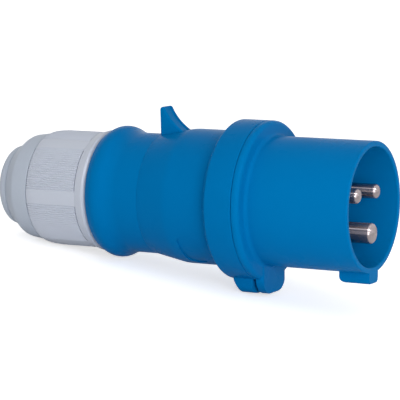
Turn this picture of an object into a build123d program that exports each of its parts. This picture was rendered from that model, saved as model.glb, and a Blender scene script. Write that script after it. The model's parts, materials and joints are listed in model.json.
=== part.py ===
from build123d import *
import os
from math import atan2, cos, degrees, hypot, radians, sin, sqrt

# An industrial pin and sleeve plug, 16 A, two poles and earth, in millimetres.
# Every piece is modelled about the plug's axis, which runs along X. The mouth of the sleeve is the
# plane X = 0 and the plug reaches back along -X. The key is at the bottom, -Z.
# At the end the whole plug is laid down as it rests, on its lug and its gland nut, nose up.

# Edges that many pieces share
MOULDED_EDGE = 0.4
METAL_EDGE = 0.4
CUT_PAST = 1.0  # how far a cutting shape runs past the face that it opens
ROOT_SINK = 1.0  # how far a piece's raised detail is rooted in its body

# Sleeve, the round shroud about the pins
SLEEVE_R = 22.0
SLEEVE_WALL = 1.9
SLEEVE_LENGTH = 36.6  # mouth to the front of the flange
RIM_ROUND = 0.5
ROOT_ROUND = 1.5

# Key, the rib that lets the plug in one way round only
KEY_WIDTH = 7.0
KEY_HEIGHT = 3.3
KEY_LENGTH = 11.5
KEY_ROUND = 2.2
KEY_REAR_ROUND = 3.0

# Flange, its front half on the sleeve and its rear half on the handle
FLANGE_WALL = 1.55  # outside the bayonet's grooves
FRONT_FLANGE = 2.5
SEAM = 0.2
FLANGE_FLOOR = 2.6  # behind the socket that takes the skirt
FLANGE_ROUND = 1.0
FLANGE_CHAMFER = 1.5
FLANGE_CHAMFER_ROUND = 0.6

# Lug under the flange, which a socket's lid hooks behind
LUG_HEIGHT = 4.35
LUG_WIDTH = 16.7
LUG_REAR_FOOT = 4.4
LUG_REAR_SLOPE = 3.2
LUG_NOTCH = 1.1
LUG_ROUND = 3.0
LUG_EDGE = 1.0

# Skirt of the sleeve housing and the bayonet that ties it to the handle
SKIRT_PAST = 0.2  # how far the skirt runs past the retainer
SKIRT_BORE_STEP = 1.5  # how much wider the skirt's bore is than the sleeve's
SKIRT_WALL = 2.4
SOCKET_CLEARANCE = 0.3
BAYONET_COUNT = 3
BAYONET_HEIGHT = 1.3
BAYONET_AHEAD = 1.5  # flange to the bayonet tooth
BAYONET_THICKNESS = 2.6
BAYONET_ANGLE = 20.0
BAYONET_TURN = 30.0
BAYONET_PLAY_ANGLE = 1.0

# Ring seal in the skirt
SEAL_SECTION = 1.5
SEAL_FROM_END = 1.0  # end of the skirt to the seal's groove
SEAL_GROOVE = 1.6
SEAL_GAP = 0.1

# Pin carrier and the plate that traps the pins in it
CARRIER_AHEAD = 0.6  # the carrier's face before the flange
CARRIER_THICKNESS = 8.0
CARRIER_RIM = 2.0
CARRIER_CLEARANCE = 0.15
PIN_BOSS_WALL = 1.6
PIN_BOSS_HEIGHT = 1.0
RETAINER_THICKNESS = 3.0
BARRIER_LENGTH = 12.0
BARRIER_THICKNESS = 1.6
BARRIER_REACH = 12.5
RETAINER_SCREW_CIRCLE_R = 16.2
RETAINER_SCREW_R = 1.5
RETAINER_SCREW_HEAD_R = 2.7
RETAINER_SCREW_HEAD = 1.8
RETAINER_SCREW_LENGTH = 8.0
RETAINER_SCREW_HEAD_ROUND = 0.9
RETAINER_SCREW_ANGLES = (210.0, 330.0)
CROSS_REACH = 3.2
CROSS_WIDTH = 0.8
CROSS_DEPTH = 1.0

# Contact pins, with a collar that the carrier holds and a terminal head behind it
PIN_CIRCLE_R = 8.75
LIVE_PIN_R = 2.5
EARTH_PIN_R = 3.5
LIVE_RECESS = 2.0  # mouth to the tip
EARTH_RECESS = 0.1
PIN_TIP_ROUND = 0.8
LINE_ANGLE = 150.0
NEUTRAL_ANGLE = 30.0
EARTH_ANGLE = 270.0
PIN_SEAT_STEP = 0.4  # how much thicker a pin is inside the carrier
PIN_CLEARANCE = 0.05
COLLAR_R = 6.8
COLLAR = 1.5
HEAD_R = 5.5
HEAD_LENGTH = 15.0

# Wire chamber in each terminal head, its clamp plate and its screw
CHAMBER_WIDTH = 5.0
CHAMBER_INWARD = 2.6
CHAMBER_OUTWARD = 2.2
CHAMBER_DEPTH = 10.0
PLATE_WIDTH = 4.6
PLATE_THICKNESS = 0.9
PLATE_LENGTH = 8.0
PLATE_CORNER = 0.6
PLATE_PLAY = 0.1
SCREW_R = 2.0
SCREW_CLEARANCE = 0.05
SCREW_TRAVEL = 3.0
SCREW_HEAD_R = 2.9
SCREW_HEAD = 1.9
SCREW_SLOT = 0.8
SCREW_SLOT_DEPTH = 1.0
SCREW_BACK = 5.0  # back of the head to the screw's axis

# Handle
SCREW_HEADROOM = 1.39  # terminal screws to the wall round them
HANDLE_WALL = 2.5
HANDLE_LENGTH = 59.3  # seam to the rear face
SHOULDER = 17.1  # rear of the flange to the start of the taper
TAPER = 11.3
WAIST_STEP = 2.14  # how much slimmer the waist is than the grip
BEAD_HEIGHT = 2.75  # above the waist
BEAD_RISE = 5.3
BEAD_FALL = 3.5
HANDLE_REAR_STEP = 0.5  # rear edge above the waist
SHOULDER_ROUND = 14.0
WAIST_ROUND = 1.0
BEAD_FOOT_ROUND = 4.0
BEAD_ROUND = 4.5
HANDLE_FLOOR_SLOPE = 4.0
HANDLE_FLOOR_ROUND = 2.0
NECK_R = 16.6
NECK_LENGTH = 14.0
NECK_BORE_R = 14.0
NECK_THROAT_R = 11.6
CAGE_SEAT = 9.4  # depth of the cage's seat in the neck

# Fin on top of the handle, which a socket's latch can catch
FIN_WIDTH = 6.6
FIN_HEIGHT = 8.9  # waist to the top of the fin's rear face
FIN_TOP_RISE = 1.0
FIN_FOOT_RISE = 1.0
FIN_BEHIND_WAIST = 0.5
FIN_LENGTH = 9.4
FIN_TIP_AHEAD = 0.95
FIN_LEAN = 0.3  # how far the rear face leans back at its top
FIN_SAG = 1.0  # how far the ramp dips below a straight line
FIN_ROUND = 0.6
FIN_TIP_ROUND = 0.9

# Gland nut
NUT_GAP = 0.3
NUT_LENGTH = 25.0
NUT_COLLAR_R = 21.2
NUT_COLLAR = 6.6
NUT_CHAMFER = 1.5
NUT_COLLAR_ROUND = 6.0
NUT_REAR_ROUND = 1.0
LAND_R = 20.5
RIB_TIP_R = 20.3
RIB_VALLEY_R = 19.9
RIBS_AHEAD = 4.5
RIB_TAPER = 3.4
RIB_REAR_R = 19.5
RIB_TAPER_ROUND = 4.0
PANEL_COUNT = 6
PANEL_ANGLE = 44.0
LAND_PHASE = 183.7  # middle of the first smooth land
RIBS_PER_PANEL = 19
THREAD_CLEARANCE = 1.1
SNAP_RIB = 0.5
SNAP_WIDTH = 1.2
SNAP_BEHIND = 3.0
NUT_BORE_STEP = 0.5

# Gland dome, which the nut draws over the clamping cage
DOME_GAP = 0.3
DOME_R = 19.1
DOME_SHOULDER_R = 18.4
DOME_SHOULDER = 6.0
DOME_SHOULDER_ROUND = 3.0
DOME_LENGTH = 11.6
DOME_END_R = 14.2
DOME_SKIRT = 9.6
DOME_SKIRT_R = 17.9
DOME_SKIRT_WALL = 2.5
GROOVE_R = 13.4
GROOVE = 0.5
NOSE_R = 13.9
NOSE_LENGTH = 3.0
NOSE_ROUND = 2.4
CABLE_HOLE_R = 9.0
CABLE_HOLE_ROUND = 0.8
CLAMP_CONE_LENGTH = 10.0
CLAMP_CONE_STEP = 0.2

# Clamping cage and the rubber seal inside it
CAGE_R = 13.0
CAGE_BORE_R = 11.0
CAGE_RING = 6.0
CAGE_CLEARANCE = 0.1
CAGE_TIP_GAP = 0.3
CLAW_COUNT = 8
CLAW_SLOT = 1.6
CLAW_LENGTH = 20.0
CLAW_TIP_CHAMFER = 1.0
SEAL_WALL = 4.3
CABLE_SEAL_LENGTH = 17.0
CABLE_SEAL_CLEARANCE = 0.2
CABLE_SEAL_ROUND = 0.8

# Places along the axis, worked out from the sizes above
flange_front = -SLEEVE_LENGTH
sleeve_seam = flange_front - FRONT_FLANGE
seam = sleeve_seam - SEAM
carrier_front = flange_front + CARRIER_AHEAD
carrier_rear = carrier_front - CARRIER_THICKNESS
carrier_seat = carrier_rear + CARRIER_RIM
boss_front = carrier_front + PIN_BOSS_HEIGHT
retainer_rear = carrier_rear - RETAINER_THICKNESS
skirt_end = retainer_rear - SKIRT_PAST
seal_groove_rear = skirt_end + SEAL_FROM_END
socket_end = skirt_end - SOCKET_CLEARANCE
flange_rear = socket_end - FLANGE_FLOOR
head_rear = carrier_rear - HEAD_LENGTH
taper_front = flange_rear - SHOULDER
waist_front = taper_front - TAPER
handle_rear = seam - HANDLE_LENGTH
neck_end = handle_rear - NECK_LENGTH
cage_front = neck_end + CAGE_SEAT
nut_front = handle_rear - NUT_GAP
nut_rear = nut_front - NUT_LENGTH
dome_front = nut_rear - DOME_GAP
dome_rear = dome_front - DOME_LENGTH
nose_front = dome_rear - GROOVE
nose_end = nose_front - NOSE_LENGTH
sleeve_bore_r = SLEEVE_R - SLEEVE_WALL
skirt_bore_r = sleeve_bore_r + SKIRT_BORE_STEP
skirt_r = skirt_bore_r + SKIRT_WALL
socket_r = skirt_r + SOCKET_CLEARANCE
flange_r = socket_r + BAYONET_HEIGHT + FLANGE_WALL
lug_r = flange_r + LUG_HEIGHT
screw_top_r = PIN_CIRCLE_R + HEAD_R + PLATE_PLAY + SCREW_TRAVEL + SCREW_HEAD
handle_bore_r = screw_top_r + SCREW_HEADROOM
handle_r = handle_bore_r + HANDLE_WALL
waist_r = handle_r - WAIST_STEP
bead_peak_r = waist_r + BEAD_HEIGHT
handle_rear_r = waist_r + HANDLE_REAR_STEP
nut_bore_r = NECK_R + THREAD_CLEARANCE
dome_skirt_front = dome_front + DOME_SKIRT
dome_bore_r = DOME_SKIRT_R - DOME_SKIRT_WALL


def turned(*corners):
    """A solid turned about X. Each corner is (x, r), or (x, r, radius of its round)."""
    points = [corner[:2] for corner in corners]
    rounds = [corner[2] if len(corner) > 2 else 0 for corner in corners]
    outline = FilletPolyline(*points, radius=rounds, close=True)
    return revolve(Plane.XZ * make_face(outline), axis=Axis.X)


def tube(front, rear, outer_r, bore_r=0):
    return turned((front, bore_r), (front, outer_r), (rear, outer_r), (rear, bore_r))


def bar(front, rear, low, high, width):
    """A box from one x to another, from one height to another, centred on Y = 0."""
    middle = ((front + rear) / 2, 0, (low + high) / 2)
    return Pos(*middle) * Box(front - rear, width, high - low)


def around(shape, angle):
    """Turned about the plug's axis, from 0 at +Y to 90 at +Z."""
    return Rot(X=angle) * shape


def sector(front, rear, outer_r, middle, angle):
    """A wedge of a disc about the axis, its middle at an angle from +Y."""
    edge = [(outer_r * cos(radians(a)), outer_r * sin(radians(a))) for a in
            (middle - angle / 2, middle, middle + angle / 2)]
    face = make_face(Line((0, 0), edge[0]) + ThreePointArc(*edge) + Line(edge[2], (0, 0)))
    return extrude(Plane.YZ.offset(rear) * face, front - rear)


def on_pin_axis(shape, angle):
    """Moved from the plug's axis to the axis of the pin at that angle."""
    return around(Pos(0, PIN_CIRCLE_R, 0) * shape, angle)


def lug(front, rear, foot_rear):
    """A half of the lug. Its foot is concentric with the flange and rounded all round."""
    root_r = flange_r - ROOT_SINK
    half = LUG_WIDTH / 2
    side = make_face(Polyline((front, 0), (front, -lug_r), (foot_rear, -lug_r), (rear, -root_r),
                              (rear, 0), close=True))
    side = fillet(side.vertices().group_by(Axis.Y)[0], LUG_EDGE)
    corner_z = -sqrt(lug_r ** 2 - half ** 2)
    section = Polyline((half, corner_z), (half, 0), (-half, 0), (-half, corner_z))
    section += ThreePointArc((-half, corner_z), (0, -lug_r), (half, corner_z))
    section = make_face(section)
    section = fillet(section.vertices().group_by(Axis.Y)[0], LUG_ROUND)
    block = extrude(Plane.XZ * side, LUG_WIDTH, both=True)
    block &= extrude(Plane.YZ.offset(rear) * section, front - rear)
    return block - tube(front, rear, root_r)


def key():
    """The rib under the sleeve. Its rear end runs out in an arc."""
    low, root = -SLEEVE_R - KEY_HEIGHT, -SLEEVE_R + SLEEVE_WALL / 2
    half = KEY_WIDTH / 2
    side = FilletPolyline((0, root), (0, low), (-KEY_LENGTH, low), (-KEY_LENGTH, root),
                          radius=[0, RIM_ROUND, KEY_REAR_ROUND, 0], close=True)
    section = FilletPolyline((half, root), (half, low), (-half, low), (-half, root),
                             radius=[0, KEY_ROUND, KEY_ROUND, 0], close=True)
    block = extrude(Plane.XZ * make_face(side), KEY_WIDTH, both=True)
    return block & extrude(Plane.YZ.offset(-KEY_LENGTH) * make_face(section), KEY_LENGTH)


def sleeve_housing():
    body = turned(
        (0, sleeve_bore_r, RIM_ROUND), (0, SLEEVE_R, RIM_ROUND),
        (flange_front, SLEEVE_R, ROOT_ROUND), (flange_front, flange_r, FLANGE_ROUND),
        (sleeve_seam, flange_r), (sleeve_seam, skirt_r),
        (skirt_end, skirt_r, RIM_ROUND), (skirt_end, skirt_bore_r),
        (carrier_seat, skirt_bore_r), (carrier_seat, sleeve_bore_r),
    )
    tooth_front = sleeve_seam - BAYONET_AHEAD
    tooth = tube(tooth_front, tooth_front - BAYONET_THICKNESS, skirt_r + BAYONET_HEIGHT, skirt_r - ROOT_SINK)
    body += key() + lug(flange_front, sleeve_seam, sleeve_seam)
    for step in range(BAYONET_COUNT):
        middle = EARTH_ANGLE + step * 360 / BAYONET_COUNT
        body += tooth & sector(tooth_front, skirt_end, flange_r, middle, BAYONET_ANGLE)
    return body - tube(seal_groove_rear + SEAL_GROOVE, seal_groove_rear, flange_r, seal_groove_r())


def seal_groove_r():
    return socket_r - SEAL_GAP - SEAL_SECTION


def housing_seal():
    middle_x = seal_groove_rear + SEAL_GROOVE / 2
    ring_r = seal_groove_r() + SEAL_SECTION / 2
    section = Plane.XZ * Pos(middle_x, ring_r) * Circle(SEAL_SECTION / 2)
    return revolve(section, axis=Axis.X)


def bayonet_track():
    """The cut in the handle that takes the teeth: three ways in and three closing grooves."""
    play = SOCKET_CLEARANCE
    outer_r = skirt_r + BAYONET_HEIGHT + play
    groove_front = sleeve_seam - BAYONET_AHEAD + play
    groove_rear = groove_front - BAYONET_THICKNESS - 2 * play
    entry_angle = BAYONET_ANGLE + 2 * BAYONET_PLAY_ANGLE
    track = []
    for step in range(BAYONET_COUNT):
        closed = EARTH_ANGLE + step * 360 / BAYONET_COUNT
        ring = sector(groove_front, groove_rear, outer_r, closed - BAYONET_TURN / 2,
                      entry_angle + BAYONET_TURN)
        track += [ring, sector(seam + CUT_PAST, groove_rear, outer_r, closed - BAYONET_TURN, entry_angle)]
    return track


def fin():
    """A blade with a straight back and a hollow ramp in front of it."""
    rear = waist_front - FIN_BEHIND_WAIST
    front = rear + FIN_LENGTH
    root_r = waist_r - ROOT_SINK
    foot_r = waist_r + FIN_FOOT_RISE
    back = (rear - FIN_LEAN, waist_r + FIN_HEIGHT)
    tip = (rear + FIN_TIP_AHEAD, back[1] + FIN_TOP_RISE)
    foot = (front, foot_r)
    run = front - tip[0]
    rise = tip[1] - foot_r
    slope = hypot(run, rise)
    middle = (tip[0] + run / 2 - FIN_SAG * rise / slope, foot_r + rise / 2 - FIN_SAG * run / slope)
    outline = Polyline((front, root_r), (rear, root_r), back, tip)
    outline += ThreePointArc(tip, middle, foot) + Line(foot, (front, root_r))
    face = make_face(outline)
    face = fillet(face.vertices().group_by(Axis.Y)[-1], FIN_TIP_ROUND)
    blade = extrude(Plane.XZ * face, FIN_WIDTH / 2, both=True)
    sharp = [edge for edge in blade.edges() if abs(abs(edge.center().Y) - FIN_WIDTH / 2) < FIN_ROUND / 10
             and edge.center().Z > foot_r]
    return fillet(sharp, FIN_ROUND)


def handle_shell():
    bead_front = handle_rear + BEAD_RISE + BEAD_FALL
    bead_peak = handle_rear + BEAD_FALL
    floor_front = handle_rear + HANDLE_WALL + CUT_PAST
    body = turned(
        (seam, 0), (seam, flange_r),
        (flange_rear + FLANGE_CHAMFER, flange_r, FLANGE_CHAMFER_ROUND),
        (flange_rear, flange_r - FLANGE_CHAMFER, FLANGE_CHAMFER_ROUND),
        (flange_rear, handle_r, ROOT_ROUND), (taper_front, handle_r, SHOULDER_ROUND),
        (waist_front, waist_r, WAIST_ROUND), (bead_front, waist_r, BEAD_FOOT_ROUND),
        (bead_peak, bead_peak_r, BEAD_ROUND),
        (handle_rear, handle_rear_r), (handle_rear, NECK_R), (neck_end, NECK_R), (neck_end, 0),
    )
    body += fin()
    body += lug(seam - LUG_NOTCH, seam - LUG_NOTCH - LUG_REAR_FOOT - LUG_REAR_SLOPE,
                seam - LUG_NOTCH - LUG_REAR_FOOT)
    body -= tube(seam, socket_end, socket_r)
    body -= turned(
        (socket_end + CUT_PAST, 0), (socket_end + CUT_PAST, handle_bore_r),
        (taper_front, handle_bore_r), (waist_front, waist_r - HANDLE_WALL),
        (floor_front, waist_r - HANDLE_WALL, HANDLE_FLOOR_ROUND),
        (floor_front - HANDLE_FLOOR_SLOPE, NECK_THROAT_R),
        (cage_front, NECK_THROAT_R), (cage_front, NECK_BORE_R), (neck_end, NECK_BORE_R), (neck_end, 0),
    )
    return body - bayonet_track()


def pin_places():
    """Name, angle, shank radius and recess of each contact pin."""
    return (("line", LINE_ANGLE, LIVE_PIN_R, LIVE_RECESS),
            ("neutral", NEUTRAL_ANGLE, LIVE_PIN_R, LIVE_RECESS),
            ("earth", EARTH_ANGLE, EARTH_PIN_R, EARTH_RECESS))


def pin_carrier():
    body = turned(
        (carrier_front, 0), (carrier_front, sleeve_bore_r - CARRIER_CLEARANCE, MOULDED_EDGE),
        (carrier_seat, sleeve_bore_r - CARRIER_CLEARANCE),
        (carrier_seat, skirt_bore_r - CARRIER_CLEARANCE),
        (carrier_rear, skirt_bore_r - CARRIER_CLEARANCE), (carrier_rear, 0),
    )
    for _, angle, shank_r, _ in pin_places():
        boss = tube(boss_front, carrier_front, shank_r + PIN_BOSS_WALL)
        hole = tube(boss_front, carrier_rear, shank_r + PIN_SEAT_STEP + PIN_CLEARANCE)
        collar_seat = tube(carrier_rear + COLLAR, carrier_rear, COLLAR_R + CARRIER_CLEARANCE)
        body += on_pin_axis(boss, angle)
        body -= on_pin_axis(hole, angle) + on_pin_axis(collar_seat, angle)
    grip = RETAINER_SCREW_LENGTH - RETAINER_THICKNESS
    thread = tube(carrier_rear + grip + SOCKET_CLEARANCE, carrier_rear, RETAINER_SCREW_R + PIN_CLEARANCE)
    for angle in RETAINER_SCREW_ANGLES:
        body -= around(Pos(0, RETAINER_SCREW_CIRCLE_R, 0) * thread, angle)
    return body


def pin_retainer():
    body = tube(carrier_rear, retainer_rear, skirt_bore_r - CARRIER_CLEARANCE)
    wall = Pos(retainer_rear - BARRIER_LENGTH / 2, BARRIER_REACH / 2, 0) * Box(
        BARRIER_LENGTH, BARRIER_REACH, BARRIER_THICKNESS)
    for _, angle, _, _ in pin_places():
        body += around(wall, angle + 180)
        body -= on_pin_axis(tube(carrier_rear, retainer_rear, HEAD_R + CARRIER_CLEARANCE), angle)
    hole = tube(carrier_rear, retainer_rear, RETAINER_SCREW_R + PIN_CLEARANCE)
    for angle in RETAINER_SCREW_ANGLES:
        body -= around(Pos(0, RETAINER_SCREW_CIRCLE_R, 0) * hole, angle)
    return body


def retainer_screw(angle):
    tip = retainer_rear + RETAINER_SCREW_LENGTH
    head_rear_x = retainer_rear - RETAINER_SCREW_HEAD
    screw = turned((tip, 0), (tip, RETAINER_SCREW_R, METAL_EDGE), (retainer_rear, RETAINER_SCREW_R),
                   (retainer_rear, RETAINER_SCREW_HEAD_R),
                   (head_rear_x, RETAINER_SCREW_HEAD_R, RETAINER_SCREW_HEAD_ROUND), (head_rear_x, 0))
    cross = Box(2 * CROSS_DEPTH, CROSS_REACH, CROSS_WIDTH) + Box(2 * CROSS_DEPTH, CROSS_WIDTH, CROSS_REACH)
    screw -= Pos(head_rear_x, 0, 0) * cross
    return around(Pos(0, RETAINER_SCREW_CIRCLE_R, 0) * screw, angle)


def screw_x():
    """Where the clamping screws stand along the axis."""
    return head_rear + SCREW_BACK


def contact_pin(angle, shank_r, recess):
    collar_front = carrier_rear + COLLAR
    body = turned(
        (-recess, 0), (-recess, shank_r, PIN_TIP_ROUND), (boss_front, shank_r),
        (boss_front, shank_r + PIN_SEAT_STEP), (collar_front, shank_r + PIN_SEAT_STEP),
        (collar_front, COLLAR_R), (carrier_rear, COLLAR_R), (carrier_rear, HEAD_R),
        (head_rear, HEAD_R, METAL_EDGE), (head_rear, 0),
    )
    chamber_y = (CHAMBER_OUTWARD - CHAMBER_INWARD) / 2
    chamber = Pos(head_rear + CHAMBER_DEPTH / 2, chamber_y, 0) * Box(
        CHAMBER_DEPTH, CHAMBER_OUTWARD + CHAMBER_INWARD, CHAMBER_WIDTH)
    thread = Cylinder(SCREW_R + SCREW_CLEARANCE, HEAD_R + CUT_PAST)
    thread = Pos(screw_x(), HEAD_R / 2, 0) * Rot(X=90) * thread
    return on_pin_axis(body - chamber - thread, angle)


def clamp_plate(angle):
    """The plate between the screw and the wire, at the top of its chamber while the screw is open."""
    y = CHAMBER_OUTWARD - PLATE_PLAY - PLATE_THICKNESS / 2
    plate = Pos(head_rear + CHAMBER_DEPTH / 2, y, 0) * Box(PLATE_LENGTH, PLATE_THICKNESS, PLATE_WIDTH)
    plate = fillet(plate.edges().filter_by(Axis.Y), PLATE_CORNER)
    return on_pin_axis(plate, angle)


def terminal_screw(angle):
    """A slotted cheese-head screw, backed out ready for a wire."""
    tip = CHAMBER_OUTWARD - PLATE_PLAY
    seat = HEAD_R + PLATE_PLAY + SCREW_TRAVEL
    top = seat + SCREW_HEAD
    shank = Cylinder(SCREW_R, seat - tip, align=(Align.CENTER, Align.CENTER, Align.MIN))
    head = Cylinder(SCREW_HEAD_R, SCREW_HEAD, align=(Align.CENTER, Align.CENTER, Align.MIN))
    head = fillet(head.edges().group_by(Axis.Z)[-1], METAL_EDGE)
    screw = Pos(0, 0, tip) * shank + Pos(0, 0, seat) * head
    screw -= Pos(0, 0, top) * Box(2 * SCREW_HEAD_R, SCREW_SLOT, 2 * SCREW_SLOT_DEPTH)
    return on_pin_axis(Pos(screw_x(), 0, 0) * Rot(X=-90) * screw, angle)


def rib_section():
    """The nut's section: six panels of V ribs with plain arcs between them."""
    pitch = PANEL_ANGLE / RIBS_PER_PANEL
    land = 360 / PANEL_COUNT - PANEL_ANGLE

    def at(radius, angle):
        return radius * cos(radians(angle)), radius * sin(radians(angle))

    outline = Curve()
    for panel in range(PANEL_COUNT):
        start = LAND_PHASE + land / 2 + panel * 360 / PANEL_COUNT
        points = [at(RIB_VALLEY_R, start)]
        for rib in range(RIBS_PER_PANEL):
            valley = start + (rib + 1) * pitch
            points += [at(RIB_TIP_R, valley - pitch / 2), at(RIB_VALLEY_R, valley)]
        end = start + PANEL_ANGLE
        outline += Polyline(*points)
        outline += ThreePointArc(at(RIB_VALLEY_R, end), at(RIB_VALLEY_R, end + land / 2),
                                 at(RIB_VALLEY_R, end + land))
    return make_face(outline)


def gland_nut():
    ribs_front = nut_front - RIBS_AHEAD
    ribs = extrude(Plane.YZ.offset(nut_rear) * rib_section(), ribs_front - nut_rear)
    ribs &= turned((ribs_front, 0), (ribs_front, LAND_R), (nut_rear + RIB_TAPER, RIB_TIP_R, RIB_TAPER_ROUND),
                   (nut_rear, RIB_REAR_R, MOULDED_EDGE), (nut_rear, 0))
    smooth = turned((nut_front, 0), (nut_front, NUT_COLLAR_R - NUT_CHAMFER),
                    (nut_front - NUT_CHAMFER, NUT_COLLAR_R, MOULDED_EDGE),
                    (nut_front - NUT_COLLAR, LAND_R, NUT_COLLAR_ROUND),
                    (nut_rear, LAND_R, NUT_REAR_ROUND), (nut_rear, 0))
    body = ribs + (smooth & tube(nut_front, ribs_front, NUT_COLLAR_R))
    for panel in range(PANEL_COUNT):
        middle = LAND_PHASE + panel * 360 / PANEL_COUNT
        body += smooth & sector(ribs_front, nut_rear, NUT_COLLAR_R, middle,
                                360 / PANEL_COUNT - PANEL_ANGLE)
    step_x = neck_end - CUT_PAST
    snap_rear = nut_rear + SNAP_BEHIND
    rear_bore_r = nut_bore_r + NUT_BORE_STEP
    return body - turned(
        (nut_front, 0), (nut_front, nut_bore_r), (step_x, nut_bore_r), (step_x, rear_bore_r),
        (snap_rear + SNAP_WIDTH, rear_bore_r), (snap_rear + SNAP_WIDTH, rear_bore_r - SNAP_RIB),
        (snap_rear, rear_bore_r - SNAP_RIB), (snap_rear, rear_bore_r), (nut_rear, rear_bore_r), (nut_rear, 0),
    )


def clamp_cone_end_r():
    return CABLE_HOLE_R + CLAMP_CONE_STEP


def gland_dome():
    play = SOCKET_CLEARANCE
    snap_front = nut_rear + SNAP_BEHIND + SNAP_WIDTH + play
    snap_rear = nut_rear + SNAP_BEHIND - play
    snap_r = nut_bore_r + NUT_BORE_STEP - SNAP_RIB - play
    cone_front = dome_front
    cone_rear = cone_front - CLAMP_CONE_LENGTH
    return turned(
        (dome_skirt_front, dome_bore_r), (dome_skirt_front, DOME_SKIRT_R, MOULDED_EDGE),
        (snap_front, DOME_SKIRT_R), (snap_front, snap_r), (snap_rear, snap_r), (snap_rear, DOME_SKIRT_R),
        (dome_front, DOME_SKIRT_R), (dome_front, DOME_R, MOULDED_EDGE),
        (dome_front - DOME_SHOULDER, DOME_SHOULDER_R, DOME_SHOULDER_ROUND),
        (dome_rear, DOME_END_R, MOULDED_EDGE), (dome_rear, GROOVE_R), (nose_front, GROOVE_R),
        (nose_front, NOSE_R, MOULDED_EDGE), (nose_end, NOSE_R, NOSE_ROUND),
        (nose_end, CABLE_HOLE_R, CABLE_HOLE_ROUND),
        (cone_rear, CABLE_HOLE_R), (cone_rear, clamp_cone_end_r()), (cone_front, dome_bore_r),
    )


def clamp_cage():
    """A ring with eight claws. The dome's cone drives the claws in on the cable."""
    ring_r = NECK_BORE_R - CAGE_CLEARANCE
    ring_rear = cage_front - CAGE_RING
    tip = ring_rear - CLAW_LENGTH
    cone_slope = (dome_bore_r - clamp_cone_end_r()) / CLAMP_CONE_LENGTH
    tip_r = dome_bore_r - (dome_front - tip) * cone_slope - CAGE_TIP_GAP / cos(atan2(cone_slope, 1))
    meet_x = tip + (CAGE_R - tip_r) / cone_slope
    body = turned(
        (cage_front, CAGE_BORE_R), (cage_front, ring_r, MOULDED_EDGE), (ring_rear, ring_r),
        (ring_rear, CAGE_R), (meet_x, CAGE_R), (tip, tip_r), (tip, CAGE_BORE_R - CLAW_TIP_CHAMFER),
        (meet_x, CAGE_BORE_R),
    )
    slot = bar(ring_rear, tip - CUT_PAST, 0, ring_r, CLAW_SLOT)
    slots = [around(slot, claw * 360 / CLAW_COUNT) for claw in range(CLAW_COUNT)]
    return body - slots


def cable_seal():
    """The soft rubber sleeve that grips the cable inside the claws."""
    outer_r = CAGE_BORE_R - CABLE_SEAL_CLEARANCE
    front = cage_front
    rear = front - CABLE_SEAL_LENGTH
    bore_r = outer_r - SEAL_WALL
    return turned((front, bore_r), (front, outer_r, CABLE_SEAL_ROUND),
                  (rear, outer_r, CABLE_SEAL_ROUND), (rear, bore_r))


def rest_placement(pieces):
    """Nose up, so that the lug's heel and the nut stand on Z = 0, with the origin under the middle."""
    heel_x = seam - LUG_NOTCH - LUG_REAR_FOOT
    nut_x = nut_rear + RIB_TAPER
    tilt = Rot(Y=-degrees(atan2(lug_r - RIB_TIP_R, heel_x - nut_x)))
    boxes = [(tilt * piece).bounding_box() for piece in pieces.values()]
    rear_x = min(box.min.X for box in boxes)
    front_x = max(box.max.X for box in boxes)
    return Pos(-(rear_x + front_x) / 2, 0, -min(box.min.Z for box in boxes)) * tilt


pieces = {
    "sleeve_housing": sleeve_housing(),
    "handle_shell": handle_shell(),
    "housing_seal": housing_seal(),
    "pin_carrier": pin_carrier(),
    "pin_retainer": pin_retainer(),
    "retainer_screw_left": retainer_screw(RETAINER_SCREW_ANGLES[0]),
    "retainer_screw_right": retainer_screw(RETAINER_SCREW_ANGLES[1]),
    "gland_nut": gland_nut(),
    "gland_dome": gland_dome(),
    "clamp_cage": clamp_cage(),
    "cable_seal": cable_seal(),
}
for name, angle, shank_r, recess in pin_places():
    pieces[f"{name}_pin"] = contact_pin(angle, shank_r, recess)
    pieces[f"{name}_clamp_plate"] = clamp_plate(angle)
    pieces[f"{name}_terminal_screw"] = terminal_screw(angle)

rest = rest_placement(pieces)
os.makedirs("parts", exist_ok=True)
for name, piece in pieces.items():
    export_step(rest * piece, f"parts/{name}.step")
print("rest placement", rest)
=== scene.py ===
# %% [markdown]
# An industrial pin and sleeve plug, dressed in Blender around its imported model.
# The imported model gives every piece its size, place and body. This script gives the pieces that show
# smooth meshes and moulded or plated finishes, a camera, plain light and a pale floor.

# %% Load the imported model
import json
import math

import bmesh
import bpy
from mathutils import Matrix, Vector

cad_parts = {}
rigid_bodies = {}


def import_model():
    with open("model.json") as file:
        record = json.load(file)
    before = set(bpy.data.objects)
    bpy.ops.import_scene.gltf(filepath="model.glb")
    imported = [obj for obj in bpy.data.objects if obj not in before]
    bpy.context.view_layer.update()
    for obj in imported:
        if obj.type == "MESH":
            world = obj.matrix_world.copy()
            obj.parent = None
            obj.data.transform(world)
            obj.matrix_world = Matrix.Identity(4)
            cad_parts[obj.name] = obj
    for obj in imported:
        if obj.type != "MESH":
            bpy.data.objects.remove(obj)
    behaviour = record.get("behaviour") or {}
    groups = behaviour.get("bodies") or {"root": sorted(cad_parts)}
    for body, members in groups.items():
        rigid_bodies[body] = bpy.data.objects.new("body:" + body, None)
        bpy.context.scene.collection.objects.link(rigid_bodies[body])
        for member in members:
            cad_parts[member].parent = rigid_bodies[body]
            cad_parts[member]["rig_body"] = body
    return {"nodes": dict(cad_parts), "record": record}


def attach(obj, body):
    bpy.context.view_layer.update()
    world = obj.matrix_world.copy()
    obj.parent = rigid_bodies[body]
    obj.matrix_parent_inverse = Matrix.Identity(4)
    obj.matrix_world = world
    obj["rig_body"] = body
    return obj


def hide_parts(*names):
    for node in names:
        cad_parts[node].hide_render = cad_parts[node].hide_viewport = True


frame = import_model()
record, nodes = frame["record"], frame["nodes"]
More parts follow.
